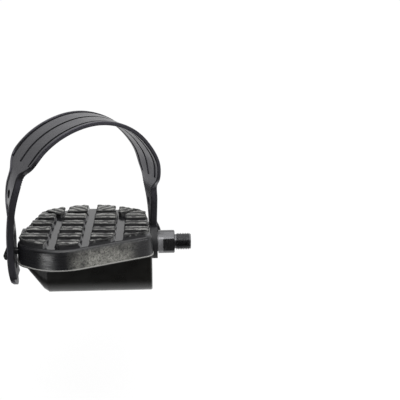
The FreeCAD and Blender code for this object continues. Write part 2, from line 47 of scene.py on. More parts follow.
# Camera as in the photograph: metres, looking at the heel side from a little above
CAMERA_PLACE = Vector((-0.01046, -0.56650, 0.21460))
CAMERA_FORWARD = Vector((0.04983, 0.95082, -0.30570))
CAMERA_LENS = 72.0
CAMERA_SENSOR = 36.0
CAMERA_NEAR = 0.01

# Lamps: place, width and height in metres, and how bright they are at the pedal
LAMP_AIM = Vector((-0.06, 0.0, 0.02))
LAMPS = {
    "top": (Vector((0.0, 0.10, 0.9)), 1.2, 1.0, 0.70),
    "low_left": (Vector((-0.27, -0.30, -0.07)), 0.14, 0.08, 0.14),
    "right": (Vector((0.75, -0.55, 0.25)), 0.4, 0.4, 0.15),
    "front": (Vector((0.0, -0.62, 0.78)), 0.9, 0.4, 0.30),
}

# Room light by direction: two places along an axis, and the light at each
ROOM_BACK = (-0.5, 0.5, 0.03, 1.0)
ROOM_OVER = (0.2, 0.9, 0.0, 0.9)
ROOM_LEFT = (-0.7, -0.2, 0.6, 1.0)

# The pedal hangs from its crank thread, so the floor lies below the swing of the strap
FLOOR_DROP = 112 * MM
FLOOR_SIZE = 30.0
FLOOR_DARK = "2a2a2a"
FLOOR_PALE = "f4f4f4"
FLOOR_GLOW = 1.02
FLOOR_DISTANT = (0.1, 0.8, 0.82, 1.0)

# White sheet on the floor, as gloss mirrors it: two places in metres, and the white at each.
# It ends in front of the pedal and near its left, and is dimmer far to its right.
SHEET_FRONT = (-0.10, 0.0, 0.03, 1.0)
SHEET_LEFT = (-0.185, -0.125, 0.1, 1.0)
SHEET_FURTHER = (0.10, 0.22, 0.0, 1.0)
SHEET_RIGHT = (0.12, 0.24, 0.0, 0.5)

# Finishes: pattern sizes are in millimetres, and colours go from dark to light.
# A range gives two values of what it reads, and then what they become, or else 0 and 1.
NOISE_SPAN = (0.3, 0.7)

NYLON_SKIN = ("141416", "232326")
NYLON_MOTTLE = 7.0
NYLON_GRAIN = 0.5
NYLON_GRAIN_DEPTH = 0.04 * MM
NYLON_STREAK = 1.4
STREAK_DRAWN = (0.12, 0.12, 1.0)
STREAK_ROUGH = (0.35, 0.65, 0.21, 0.37)
DECK_FADE = 0.6 * MM
DECK_ROUGH = (-0.4, -0.1, 0.6, 0.15)
# Painted highlight on the groove sides that face the crank: which way they face, and its pale
# colour
GROOVE_SIDE_HIGHLIGHT_SPAN = (0.4, 0.8)
GROOVE_SIDE_HIGHLIGHT = "78787a"

# Scuffs on the rim along the heel side: where they fade in and out along it, and
# their upper and inner ends
SCUFF_TOP = 11.2 * MM
SCUFF_Y = -18 * MM
SCUFF_FADE = 3 * MM
SCUFF_START = (-78 * MM, -64 * MM)
SCUFF_END = (-24 * MM, -40 * MM)
SCUFF_UNDER = (SCUFF_TOP, SCUFF_TOP - SCUFF_FADE)
SCUFF_HEEL = (SCUFF_Y + SCUFF_FADE, SCUFF_Y)
SCUFF_SPECK = 1.3
SCUFF_PATCH = 14.0
SCUFF_PATCH_SPAN = (0.25, 0.55)
SCUFF_PALE = "bab9b1"
SCUFF_ROUGH = 0.8

# The boss round the spindle begins here, and is duller than the skirt
BOSS_X = -18.5 * MM
BOSS_ROUGH = 0.6

# Tread rubber: its dark skin, and the pale colour of the painted highlight on ridge tops and
# crank-facing sides
TREAD_SKIN_AND_HIGHLIGHT = ("1c1c1d", "c8c8c4")
TREAD_PITS = 0.9
TREAD_PITS_DEPTH = 0.4 * MM
TREAD_PITS_SPAN = (0.25, 0.75)
TREAD_ROUGH = (0.62, 0.9)
TREAD_CREST_HIGHLIGHT = (0.15, 0.75)
TREAD_SIDE_HIGHLIGHT = (0.4, 0.8, 0.0, 0.7)

COVER_SKIN = ("100f0d", "191815")
COVER_MOTTLE = 9.0
COVER_GRAIN = 0.6
COVER_GRAIN_DEPTH = 0.04 * MM
COVER_ROUGH = (0.24, 0.38)
# Painted highlight along the thin flange: its height band, and its pale colour
COVER_LIP_HIGHLIGHT_BAND = (-3.6 * MM, -3.2 * MM, 0.0, 0.8)
COVER_LIP_HIGHLIGHT = "c8c8c4"

VINYL_SKIN = ("1a1a1a", "2a2a2b")
VINYL_SHEEN = "ece8ff"
VINYL_MOTTLE = 12.0
VINYL_GRAIN = 1.5
VINYL_GRAIN_DEPTH = 0.12 * MM
VINYL_ROUGH = (0.28, 0.40)

# Crank-side leg of the strap: its inner face is dulled by the shoe below this height
DULL_Z = 42 * MM
DULL_FADE = 5 * MM
DULL_FACE = (-0.5, -0.8)
DULL_ROUGH = 0.7

STEEL_DRAWN = (1.0, 0.08, 0.08)
STEEL_MARK_DEPTH = 0.03 * MM

# Run-out of the wrench flats: painted highlight of paler steel from here inwards, up to this height
# off the axis
RUNOUT_HIGHLIGHT_X = -8.9 * MM
RUNOUT_HIGHLIGHT_X_FADE = 0.5 * MM
RUNOUT_HIGHLIGHT_Z = 6.0 * MM
RUNOUT_HIGHLIGHT_Z_FADE = 0.8 * MM
RUNOUT_HIGHLIGHT_STEEL = "a2a2a4"
RUNOUT_HIGHLIGHT_ROUGH = 0.6

# Cuts and merges of the shapes
CUT_NEAR = 1e-7
MERGE_NEAR = 0.0005 * MM
LEVEL_NEAR = 0.01 * MM
WALL_FACING = 0.5

# Ridges on the tread block tops: along the rows, and slanting on the toe blocks
ROW_LEAN = math.radians(3.0)
ROW_PITCH = 13.8 * MM
ROW_GAP = 6.6 * MM
RIDGE_PITCH = ROW_PITCH / 2
RIDGE_LOW = 0.08 * MM
RIDGE_HIGH = 0.9 * MM
RIDGE_NAME = "ridge_height"
RIDGE_BEND = 2.0
BEND_LONG = 5 * MM
BEND_WIDE = 7 * MM
FINE_COUNT = 3
FINE_BEND = 5.0
FINE_SHARE = 0.25
UNEVEN_SIZE = 2.4 * MM
UNEVEN_MEAN = 0.8
UNEVEN_SWING = 0.5
UNEVEN_LAYER = 3.0
TOE_MIDDLE = -64 * MM
TOE_START = 25 * MM
TOE_SPREAD = 23.5 * MM
TOE_RISE = 0.72
TOE_LEAN = math.radians(40.0)
TOE_PITCH = 5.2 * MM

# Tread block tops: wall, mesh steps, wavy edge, crown, and how near the edge the painted highlight
# on the ridges fades out
CAP_PROUD = 0.25 * MM
CAP_WALL = 1.3 * MM
CAP_STEP_X = 1.1 * MM
CAP_STEP_Y = 0.55 * MM
CAP_WANDER = 0.9 * MM
CAP_WANDER_SIZE = 3.5 * MM
CAP_WANDER_LAYER = 1.0
CAP_WANDER_SEED = 1
CAP_EDGE_RIDGE = 0.7
CAP_CROWN = 0.8 * MM
CAP_ROUND = 3.0 * MM
HIGHLIGHT_INSET = 0.2

# Crank thread: half inch by 20 threads an inch, left hand
SEAT_GAP = 0.02 * MM
THREAD_PITCH = 1.27 * MM
THREAD_MAJOR = 6.35 * MM
THREAD_MINOR = 5.57 * MM
THREAD_LENGTH = 12.2 * MM
THREAD_CHAMFER = 1.0 * MM
THREAD_MERGE = 0.002 * MM
THREAD_SPARE = 3
RELIEF_LENGTH = 1.3 * MM
RELIEF_RADIUS = 5.45 * MM
RELIEF_OVERLAP = 0.4 * MM
TURN_STEPS = 48

# Pan head of the cover screws: its flat, and its round as shares of radius and height
HEAD_RADIUS = 3.2 * MM
HEAD_HEIGHT = 1.8 * MM
HEAD_FLAT = 0.72
HEAD_ROUND = ((0.9, 0.22), (0.985, 0.55), (1.0, 1.0))
HEAD_STEPS = 24
CROSS_WIDTH = 0.9 * MM
CROSS_REACH = 1.0 * MM
CROSS_DEPTH = 1.1 * MM
CROSS_TAPER = 0.7
SHANK_RADIUS = 1.5 * MM
SHANK_STEPS = 20


def paint(code):
    """sRGB hex colour as linear red, green, blue, alpha."""
    parts = [int(code[i:i + 2], 16) / 255 for i in (0, 2, 4)]
    return [p / 12.92 if p <= 0.04045 else ((p + 0.055) / 1.055) ** 2.4 for p in parts] + [1.0]


def per_mm(size):
    """Pattern scale for a feature of that size in millimetres."""
    return 1000.0 / size


def add(tree, kind, inputs=(), **settings):
    """Adds a node with its settings. Its inputs are links or values, by name or in order.

    A mix has its share at 0, its numbers at 2 and 3, and its colours at 6 and 7."""
    node = tree.nodes.new(kind)
    for name, value in settings.items():
        setattr(node, name, value)
    named = inputs.items() if isinstance(inputs, dict) else enumerate(inputs)
    for socket, value in named:
        if isinstance(value, bpy.types.NodeSocket):
            tree.links.new(value, node.inputs[socket])
        else:
            node.inputs[socket].default_value = value
    return node


def empty_tree(owner):
    """Node tree of a material or of the world, with nothing in it yet."""
    owner.use_nodes = True
    owner.node_tree.nodes.clear()
    return owner.node_tree


def new_finish(name):
    """Empty material, with the place on the piece in metres and the way the surface faces."""
    material = bpy.data.materials.new(name)
    tree = empty_tree(material)
    coords = add(tree, "ShaderNodeTexCoord").outputs
    return material, tree, coords["Object"], coords["Normal"]


def finish(material, sockets):
    """Closes a material with its shader, whose sockets are links or values by name."""
    tree = material.node_tree
    shader = add(tree, "ShaderNodeBsdfPrincipled", sockets)
    add(tree, "ShaderNodeOutputMaterial", {"Surface": shader.outputs[0]})
    return material


def moulded_nylon():
    """Glass-filled nylon, injection moulded.

    Satin black skin with a faint mottle, streaks along the skirt, a dull boss, smooth
    groove floors, and a painted highlight on the groove sides towards the crank. Pale scuffs dull
    the rim along the heel side."""
    material, tree, place, facing = new_finish("moulded_nylon")
    along, depth, height = add(tree, "ShaderNodeSeparateXYZ", [place]).outputs
    sideways, towards, _ = add(tree, "ShaderNodeSeparateXYZ", [facing]).outputs
    mottle = add(tree, "ShaderNodeTexNoise", {
        "Vector": place, "Scale": per_mm(NYLON_MOTTLE), "Detail": 3.0}).outputs[0]
    grain = add(tree, "ShaderNodeTexNoise", {
        "Vector": place, "Scale": per_mm(NYLON_GRAIN), "Detail": 2.0}).outputs[0]
    drawn = add(tree, "ShaderNodeMapping", {"Vector": place, "Scale": STREAK_DRAWN}).outputs[0]
    streak = add(tree, "ShaderNodeTexNoise", {
        "Vector": drawn, "Scale": per_mm(NYLON_STREAK), "Detail": 3.0}).outputs[0]
    speck = add(tree, "ShaderNodeTexNoise", {
        "Vector": place, "Scale": per_mm(SCUFF_SPECK), "Detail": 4.0, "Roughness": 0.7}).outputs[0]
    patch = add(tree, "ShaderNodeTexNoise", {
        "Vector": place, "Scale": per_mm(SCUFF_PATCH), "Detail": 3.0}).outputs[0]

    # Scuffs: specks in patches, within their stretch of the rim
    scuff = add(tree, "ShaderNodeMapRange", (speck, *NOISE_SPAN)).outputs[0]
    for reading, span, soft in (
            (patch, SCUFF_PATCH_SPAN, "LINEAR"), (along, SCUFF_START, "SMOOTHSTEP"),
            (along, SCUFF_END, "SMOOTHSTEP"), (height, SCUFF_UNDER, "SMOOTHSTEP"),
            (depth, SCUFF_HEEL, "LINEAR")):
        mask = add(tree, "ShaderNodeMapRange", (reading, *span), interpolation_type=soft).outputs[0]
        scuff = add(tree, "ShaderNodeMath", (scuff, mask), operation="MULTIPLY").outputs[0]

    # Deck: the grooves between the blocks, whose sides towards the crank get a painted highlight
    deck = add(tree, "ShaderNodeMapRange", (height, SCUFF_TOP, SCUFF_TOP + DECK_FADE)).outputs[0]
    side_highlight = add(tree, "ShaderNodeMapRange", (sideways, *GROOVE_SIDE_HIGHLIGHT_SPAN)).outputs[0]
    side_highlight = add(tree, "ShaderNodeMath", (side_highlight, deck), operation="MULTIPLY").outputs[0]

    low, high = NYLON_SKIN
    skin = add(tree, "ShaderNodeMix", {0: mottle, 6: paint(low), 7: paint(high)},
               data_type="RGBA").outputs[2]
    skin = add(tree, "ShaderNodeMix", {0: scuff, 6: skin, 7: paint(SCUFF_PALE)},
               data_type="RGBA").outputs[2]
    # Painted highlight: groove sides facing the crank are mixed towards a pale colour
    skin = add(tree, "ShaderNodeMix", {0: side_highlight, 6: skin, 7: paint(GROOVE_SIDE_HIGHLIGHT)},
               data_type="RGBA").outputs[2]

    skirt = add(tree, "ShaderNodeMapRange", (streak, *STREAK_ROUGH)).outputs[0]
    skirt = add(tree, "ShaderNodeMapRange", (
        along, BOSS_X, BOSS_X + SCUFF_FADE, skirt, BOSS_ROUGH)).outputs[0]
    floors = add(tree, "ShaderNodeMapRange", (towards, *DECK_ROUGH)).outputs[0]
    rough = add(tree, "ShaderNodeMix", {0: deck, 2: skirt, 3: floors}).outputs[0]
    rough = add(tree, "ShaderNodeMapRange", (scuff, 0.0, 1.0, rough, SCUFF_ROUGH)).outputs[0]
    bump = add(tree, "ShaderNodeBump", {
        "Height": grain, "Strength": 0.2, "Distance": NYLON_GRAIN_DEPTH}).outputs[0]
    return finish(material, {"Base Color": skin, "Roughness": rough, "IOR": 1.53, "Normal": bump})


def tread_rubber():
    """Soft moulded tread, matt and pitted.

    The tops of the ridges and the sides towards the crank get a painted highlight, a pale colour
    where light would catch them."""
    material, tree, place, facing = new_finish("tread_rubber")
    sideways = add(tree, "ShaderNodeSeparateXYZ", [facing]).outputs[0]
    pits = add(tree, "ShaderNodeTexNoise", {
        "Vector": place, "Scale": per_mm(TREAD_PITS), "Detail": 4.0, "Roughness": 0.7}).outputs[0]
    height = add(tree, "ShaderNodeAttribute", attribute_name=RIDGE_NAME).outputs["Fac"]
    # Painted highlight: ridge crests and sides facing the crank are mixed towards the pale colour
    crest_highlight = add(tree, "ShaderNodeMapRange", (height, *TREAD_CREST_HIGHLIGHT),
                interpolation_type="SMOOTHSTEP").outputs[0]
    side_highlight = add(tree, "ShaderNodeMapRange", (sideways, *TREAD_SIDE_HIGHLIGHT)).outputs[0]
    painted_highlight = add(tree, "ShaderNodeMath", (crest_highlight, side_highlight), operation="MAXIMUM").outputs[0]
    uneven = add(tree, "ShaderNodeMapRange", (pits, *TREAD_PITS_SPAN)).outputs[0]
    painted_highlight = add(tree, "ShaderNodeMath", (painted_highlight, uneven), operation="MULTIPLY").outputs[0]
    low, high = TREAD_SKIN_AND_HIGHLIGHT
    skin = add(tree, "ShaderNodeMix", {0: painted_highlight, 6: paint(low), 7: paint(high)},
               data_type="RGBA").outputs[2]
    rough = add(tree, "ShaderNodeMapRange", (pits, *NOISE_SPAN, *TREAD_ROUGH)).outputs[0]
    bump = add(tree, "ShaderNodeBump", {
        "Height": pits, "Strength": 0.8, "Distance": TREAD_PITS_DEPTH}).outputs[0]
    return finish(material, {"Base Color": skin, "Roughness": rough, "IOR": 1.5, "Normal": bump})


def cover_plastic():
    """Smooth moulded polypropylene.

    Deep warm black, with a painted highlight along the thin flange: a pale line where it would
    catch the light."""
    material, tree, place, _ = new_finish("cover_polypropylene")
    height = add(tree, "ShaderNodeSeparateXYZ", [place]).outputs[2]
    mottle = add(tree, "ShaderNodeTexNoise", {
        "Vector": place, "Scale": per_mm(COVER_MOTTLE), "Detail": 4.0}).outputs[0]
    grain = add(tree, "ShaderNodeTexNoise", {
        "Vector": place, "Scale": per_mm(COVER_GRAIN), "Detail": 2.0}).outputs[0]
    # Painted highlight: a pale line along the flange
    lip_highlight = add(tree, "ShaderNodeMapRange", (height, *COVER_LIP_HIGHLIGHT_BAND)).outputs[0]
    low, high = COVER_SKIN
    skin = add(tree, "ShaderNodeMix", {0: mottle, 6: paint(low), 7: paint(high)},
               data_type="RGBA").outputs[2]
    skin = add(tree, "ShaderNodeMix", {0: lip_highlight, 6: skin, 7: paint(COVER_LIP_HIGHLIGHT)},
               data_type="RGBA").outputs[2]
    rough = add(tree, "ShaderNodeMapRange", (mottle, *NOISE_SPAN, *COVER_ROUGH)).outputs[0]
    bump = add(tree, "ShaderNodeBump", {
        "Height": grain, "Strength": 0.12, "Distance": COVER_GRAIN_DEPTH}).outputs[0]
    return finish(material, {"Base Color": skin, "Roughness": rough, "IOR": 1.49, "Normal": bump})


def strap_vinyl():
    """Flexible moulded vinyl: dark grey with a faint violet sheen and a leather-like grain.

    The real grain is finer; it is drawn coarse enough to show."""
    material, tree, place, facing = new_finish("strap_vinyl")
    height = add(tree, "ShaderNodeSeparateXYZ", [place]).outputs[2]
    sideways = add(tree, "ShaderNodeSeparateXYZ", [facing]).outputs[0]
    grain = add(tree, "ShaderNodeTexVoronoi", {
        "Vector": place, "Scale": per_mm(VINYL_GRAIN)}).outputs[0]
    mottle = add(tree, "ShaderNodeTexNoise", {
        "Vector": place, "Scale": per_mm(VINYL_MOTTLE), "Detail": 4.0}).outputs[0]
    low, high = VINYL_SKIN
    skin = add(tree, "ShaderNodeMix", {0: mottle, 6: paint(low), 7: paint(high)},
               data_type="RGBA").outputs[2]
    inner = add(tree, "ShaderNodeMapRange", (sideways, *DULL_FACE)).outputs[0]
    below = add(tree, "ShaderNodeMapRange", (height, DULL_Z, DULL_Z - DULL_FADE)).outputs[0]
    dull = add(tree, "ShaderNodeMath", (inner, below), operation="MULTIPLY").outputs[0]
    rough = add(tree, "ShaderNodeMapRange", (mottle, *NOISE_SPAN, *VINYL_ROUGH)).outputs[0]
    rough = add(tree, "ShaderNodeMapRange", (dull, 0.0, 1.0, rough, DULL_ROUGH)).outputs[0]
    bump = add(tree, "ShaderNodeBump", {
        "Height": grain, "Strength": 0.6, "Distance": VINYL_GRAIN_DEPTH}).outputs[0]
    return finish(material, {"Base Color": skin, "Roughness": rough, "IOR": 1.53,
                             "Specular Tint": paint(VINYL_SHEEN), "Normal": bump})


def steel(name, skin, rough, mark, painted_runout_highlight=False):
    """Steel with fine marks of that size in millimetres round the spindle axis.

    The run-out of the wrench flats can carry a painted highlight of paler steel."""
    material, tree, place, _ = new_finish(name)
    turned = add(tree, "ShaderNodeMapping", {"Vector": place, "Scale": STEEL_DRAWN}).outputs[0]
    marks = add(tree, "ShaderNodeTexNoise", {
        "Vector": turned, "Scale": per_mm(mark), "Detail": 3.0}).outputs[0]
    low, high = skin
    skin = add(tree, "ShaderNodeMix", {0: marks, 6: paint(low), 7: paint(high)},
               data_type="RGBA").outputs[2]
    rough = add(tree, "ShaderNodeMapRange", (marks, *NOISE_SPAN, *rough)).outputs[0]
    # Painted highlight: the run-out of the wrench flats turns paler and rougher
    if painted_runout_highlight:
        along, _, height = add(tree, "ShaderNodeSeparateXYZ", [place]).outputs
        inward = add(tree, "ShaderNodeMapRange", (along, RUNOUT_HIGHLIGHT_X + RUNOUT_HIGHLIGHT_X_FADE, RUNOUT_HIGHLIGHT_X)).outputs[0]
        off = add(tree, "ShaderNodeMath", [height], operation="ABSOLUTE").outputs[0]
        near = add(tree, "ShaderNodeMapRange", (off, RUNOUT_HIGHLIGHT_Z, RUNOUT_HIGHLIGHT_Z - RUNOUT_HIGHLIGHT_Z_FADE)).outputs[0]
        runout_highlight = add(tree, "ShaderNodeMath", (inward, near), operation="MULTIPLY").outputs[0]
        skin = add(tree, "ShaderNodeMix", {0: runout_highlight, 6: skin, 7: paint(RUNOUT_HIGHLIGHT_STEEL)},
                   data_type="RGBA").outputs[2]
        rough = add(tree, "ShaderNodeMapRange", (runout_highlight, 0.0, 1.0, rough, RUNOUT_HIGHLIGHT_ROUGH)).outputs[0]
    bump = add(tree, "ShaderNodeBump", {
        "Height": marks, "Strength": 0.15, "Distance": STEEL_MARK_DEPTH}).outputs[0]
    return finish(material, {
        "Base Color": skin, "Roughness": rough, "Metallic": 1.0, "Normal": bump})


def rough_solid(name, skin, rough, size, depth):
    """Cast or moulded surface with a coarse grain of that size in millimetres."""
    material, tree, place, _ = new_finish(name)
    grain = add(tree, "ShaderNodeTexNoise", {
        "Vector": place, "Scale": per_mm(size), "Detail": 4.0}).outputs[0]
    low, high = skin
    skin = add(tree, "ShaderNodeMix", {0: grain, 6: paint(low), 7: paint(high)},
               data_type="RGBA").outputs[2]
    bump = add(tree, "ShaderNodeBump", {
        "Height": grain, "Strength": 0.5, "Distance": depth}).outputs[0]
    return finish(material, {"Base Color": skin, "Roughness": rough, "Normal": bump})


def new_piece(name, bm, material, body, smooth=35):
    """Mesh object of a finished shape, smooth up to that edge angle, riding on its body."""
    bm.normal_update()
    for face in bm.faces:
        face.smooth = True
    for edge in bm.edges:
        edge.smooth = edge.is_manifold and edge.calc_face_angle(0.0) < math.radians(smooth)
    mesh = bpy.data.meshes.new(name)
    bm.to_mesh(mesh)
    bm.free()
    mesh.materials.append(material)
    piece = bpy.data.objects.new(name, mesh)
    bpy.context.scene.collection.objects.link(piece)
    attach(piece, body)
    return piece


def node_copy(name):
    """Merged copy of a CAD node's shape."""
    bm = bmesh.new()
    bm.from_mesh(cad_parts[name].data)
    bmesh.ops.remove_doubles(bm, verts=bm.verts[:], dist=MERGE_NEAR)
    return bm


def cut(bm, place, way, drop=False):
    """Cuts the shape by a plane. What lies beyond it can be dropped."""
    bmesh.ops.bisect_plane(bm, geom=bm.verts[:] + bm.edges[:] + bm.faces[:], dist=CUT_NEAR,
                           plane_co=place, plane_no=way, clear_outer=drop)


def close_ends(bm):
    """Fills every open loop of the shape."""
    bmesh.ops.holes_fill(bm, edges=[e for e in bm.edges if e.is_boundary], sides=0)


def only(geom, kind):
    """Those of an operator's results that are of one kind."""
    return [g for g in geom if isinstance(g, kind)]


def slice_up(bm, axis, step):
    """Cuts the shape by parallel planes, a step apart."""
    low = min(v.co[axis] for v in bm.verts)
    high = max(v.co[axis] for v in bm.verts)
    way = Vector([1.0 if i == axis else 0.0 for i in range(3)])
    for i in range(1, int((high - low) / step) + 1):
        cut(bm, way * (low + i * step), way)


def ridge(place):
    """Height of the wavy ridges over a tread block."""
    aside = place.x - TOE_MIDDLE
    on_toe = place.y > TOE_START + TOE_RISE * max(abs(aside) - TOE_SPREAD, 0.0)
    lean = -math.copysign(TOE_LEAN, aside) if on_toe else ROW_LEAN
    pitch = TOE_PITCH if on_toe else RIDGE_PITCH
    across = place.y * math.cos(lean) + place.x * math.sin(lean) - ROW_GAP
    bend = noise.noise(Vector((place.x / BEND_LONG, across / BEND_WIDE, 0.0)))
    turn = 2 * math.pi * across / pitch
    wave = 0.5 - 0.5 * math.cos(turn + RIDGE_BEND * bend)
    fine = 0.5 + 0.5 * math.sin(FINE_COUNT * turn + FINE_BEND * bend)
    speck = noise.noise(Vector((place.x / UNEVEN_SIZE, place.y / UNEVEN_SIZE, UNEVEN_LAYER)))
    share = (1.0 - FINE_SHARE) * wave + FINE_SHARE * fine
    share *= UNEVEN_MEAN + UNEVEN_SWING * speck
    return RIDGE_LOW + (RIDGE_HIGH - RIDGE_LOW) * min(max(share, 0.0), 1.0)


def tread_caps(material):
    """Top of every tread block: crowned, with wavy edges a little proud and wavy ridges across."""
    # Without a seed, the wander of the edges would differ each run
    noise.seed_set(CAP_WANDER_SEED)
    bm = node_copy("platform")
    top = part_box("platform")[1].z
    rest = [f for f in bm.faces if min(v.co.z for v in f.verts) < top - LEVEL_NEAR]
    bmesh.ops.delete(bm, geom=rest, context="FACES")
    bmesh.ops.dissolve_limit(bm, angle_limit=math.radians(1), verts=bm.verts[:], edges=bm.edges[:])
    feet = bm.verts[:]
    bmesh.ops.extrude_face_region(bm, geom=bm.faces[:], use_keep_orig=True)
    bmesh.ops.translate(bm, verts=feet, vec=(0, 0, -CAP_WALL))
    slice_up(bm, 0, CAP_STEP_X)
    slice_up(bm, 1, CAP_STEP_Y)
    bmesh.ops.recalc_face_normals(bm, faces=bm.faces[:])
    bm.normal_update()
    share = bm.verts.layers.float.new(RIDGE_NAME)
    upper = [v for v in bm.verts if v.co.z > top - LEVEL_NEAR]
    edge_verts = {v for v in upper if any(abs(f.normal.z) < WALL_FACING for f in v.link_faces)}
    rims = kdtree.KDTree(len(edge_verts))
    for v in edge_verts:
        rims.insert(v.co, v.index)
    rims.balance()
    moves = {}
    for v in upper:
        spot = Vector((v.co.x / CAP_WANDER_SIZE, v.co.y / CAP_WANDER_SIZE, CAP_WANDER_LAYER))
        drift = noise.noise_vector(spot) * CAP_WANDER
        rise = ridge(v.co)
        if v in edge_verts:
            out = Vector((v.normal.x, v.normal.y, 0.0)).normalized()
            moves[v] = out * CAP_PROUD + Vector((drift.x, drift.y, rise * CAP_EDGE_RIDGE))
        else:
            inset = min(rims.find(v.co)[2] / CAP_ROUND, 1.0)
            crown = CAP_CROWN * math.sqrt(1.0 - (1.0 - inset) ** 2)
            moves[v] = Vector((drift.x, drift.y, rise + crown))
            # This share drives the painted highlight on the ridge crests, faded out near the block
            # edges
            v[share] = rise / RIDGE_HIGH * min(inset / HIGHLIGHT_INSET, 1.0)
    for v, move in moves.items():
        v.co += move
    return new_piece("tread_caps", bm, material, "pedal", smooth=60)


def spindle_body(material):
    """Turned spindle up to the crank seat, with its collar and wrench flats."""
    bm = node_copy("spindle")
    cut(bm, (-SEAT_GAP, 0, 0), (1, 0, 0), drop=True)
    close_ends(bm)
    piece = new_piece("spindle_body", bm, material, "spindle")
    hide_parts("spindle")
    return piece


def crank_thread(material):
    """Left-hand crank thread with its relief groove and chamfered end."""
    bm = bmesh.new()
    flat = THREAD_PITCH / 8
    flank = THREAD_PITCH / 2 - flat
    turns = int((THREAD_LENGTH - RELIEF_LENGTH) / THREAD_PITCH) + THREAD_SPARE
    start = RELIEF_LENGTH - THREAD_PITCH
    profile = [(start, THREAD_MINOR), (start + flat, THREAD_MINOR),
               (start + flat + flank, THREAD_MAJOR), (start + 2 * flat + flank, THREAD_MAJOR),
               (start + THREAD_PITCH, THREAD_MINOR)]
    points = [bm.verts.new((x, 0, r)) for x, r in profile]
    for a, b in zip(points, points[1:]):
        bm.edges.new((a, b))
    bmesh.ops.spin(bm, geom=bm.verts[:] + bm.edges[:], cent=(0, 0, 0), axis=(-1, 0, 0),
                   dvec=(THREAD_PITCH / TURN_STEPS, 0, 0), angle=2 * math.pi * turns,
                   steps=TURN_STEPS * turns)
    bmesh.ops.remove_doubles(bm, verts=bm.verts[:], dist=THREAD_MERGE)
    cut(bm, (RELIEF_LENGTH, 0, 0), (-1, 0, 0), drop=True)
    cut(bm, (THREAD_LENGTH, 0, 0), (1, 0, 0), drop=True)
    for v in bm.verts:
        limit = THREAD_MAJOR - THREAD_CHAMFER + min(THREAD_LENGTH - v.co.x, THREAD_CHAMFER)
        radius = math.hypot(v.co.y, v.co.z)
        v.co.y *= min(1.0, limit / radius)
        v.co.z *= min(1.0, limit / radius)
    close_ends(bm)
    lying = Matrix.Translation((RELIEF_LENGTH / 2, 0, 0)) @ Matrix.Rotation(math.pi / 2, 4, "Y")
    bmesh.ops.create_cone(bm, cap_ends=True, segments=TURN_STEPS, radius1=RELIEF_RADIUS,
                          radius2=RELIEF_RADIUS, depth=RELIEF_LENGTH + RELIEF_OVERLAP, matrix=lying)
    bmesh.ops.recalc_face_normals(bm, faces=bm.faces[:])
    piece = new_piece("crank_thread", bm, material, "spindle", smooth=25)
    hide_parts("spindle")
    return piece


def screw_head(bm, seat):
    """Pan head of a screw from below, with a cross recess."""
    flat_z = seat.z - HEAD_HEIGHT
    half = CROSS_WIDTH / 2
    core = bm.faces.new([bm.verts.new((seat.x + i * half, seat.y + j * half, flat_z))
                         for i, j in ((-1, -1), (1, -1), (1, 1), (-1, 1))])
    cross = [core]
    for edge in core.edges[:]:
        middle = (edge.verts[0].co + edge.verts[1].co) / 2
        out = Vector((middle.x - seat.x, middle.y - seat.y, 0)).normalized()
        arm = bmesh.ops.extrude_edge_only(bm, edges=[edge])["geom"]
        bmesh.ops.translate(bm, verts=only(arm, bmesh.types.BMVert), vec=out * CROSS_REACH)
        cross += only(arm, bmesh.types.BMFace)
    inner = {e for f in cross for e in f.edges if e.is_boundary}
    ring = bmesh.ops.create_circle(bm, segments=HEAD_STEPS, radius=HEAD_FLAT * HEAD_RADIUS,
                                   matrix=Matrix.Translation((seat.x, seat.y, flat_z)))["verts"]
    loop = list({e for v in ring for e in v.link_edges})
    bmesh.ops.bridge_loops(bm, edges=list(inner) + loop)
    for radius, lift in HEAD_ROUND:
        grown = bmesh.ops.extrude_edge_only(bm, edges=loop)["geom"]
        verts = only(grown, bmesh.types.BMVert)
        loop = [e for e in only(grown, bmesh.types.BMEdge) if all(v in verts for v in e.verts)]
        for v in verts:
            out = Vector((v.co.x - seat.x, v.co.y - seat.y, 0)).normalized()
            middle = Vector((seat.x, seat.y, flat_z + lift * HEAD_HEIGHT))
            v.co = middle + out * (radius * HEAD_RADIUS)
    bmesh.ops.holes_fill(bm, edges=loop, sides=0)
    sunk = bmesh.ops.extrude_face_region(bm, geom=cross)["geom"]
    bmesh.ops.delete(bm, geom=[f for f in cross if f.is_valid], context="FACES")
    bottom = only(sunk, bmesh.types.BMVert)
    bmesh.ops.translate(bm, verts=bottom, vec=(0, 0, CROSS_DEPTH))
    bmesh.ops.scale(bm, verts=bottom, vec=(CROSS_TAPER, CROSS_TAPER, 1.0),
                    space=Matrix.Translation(-seat))


def cover_screws(material):
    """The four screws of the lower cover, at their places in the model."""
    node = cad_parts["cover_screws"].data
    low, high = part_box("cover_screws")
    middle = (low + high) / 2
    bm = bmesh.new()
    for right in (False, True):
        for far in (False, True):
            own = [v.co for v in node.vertices
                   if (v.co.x > middle.x) == right and (v.co.y > 0) == far]
            x, y = [(min(c[i] for c in own) + max(c[i] for c in own)) / 2 for i in (0, 1)]
            seat = Vector((x, y, low.z + HEAD_HEIGHT))
            screw_head(bm, seat)
            length = high.z - seat.z
            bmesh.ops.create_cone(bm, cap_ends=True, segments=SHANK_STEPS, radius1=SHANK_RADIUS,
                                  radius2=SHANK_RADIUS, depth=length,
                                  matrix=Matrix.Translation(seat + Vector((0, 0, length / 2))))
    bmesh.ops.recalc_face_normals(bm, faces=bm.faces[:])
    piece = new_piece("cover_screw_set", bm, material, "pedal")
    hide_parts("cover_screws")
    return piece


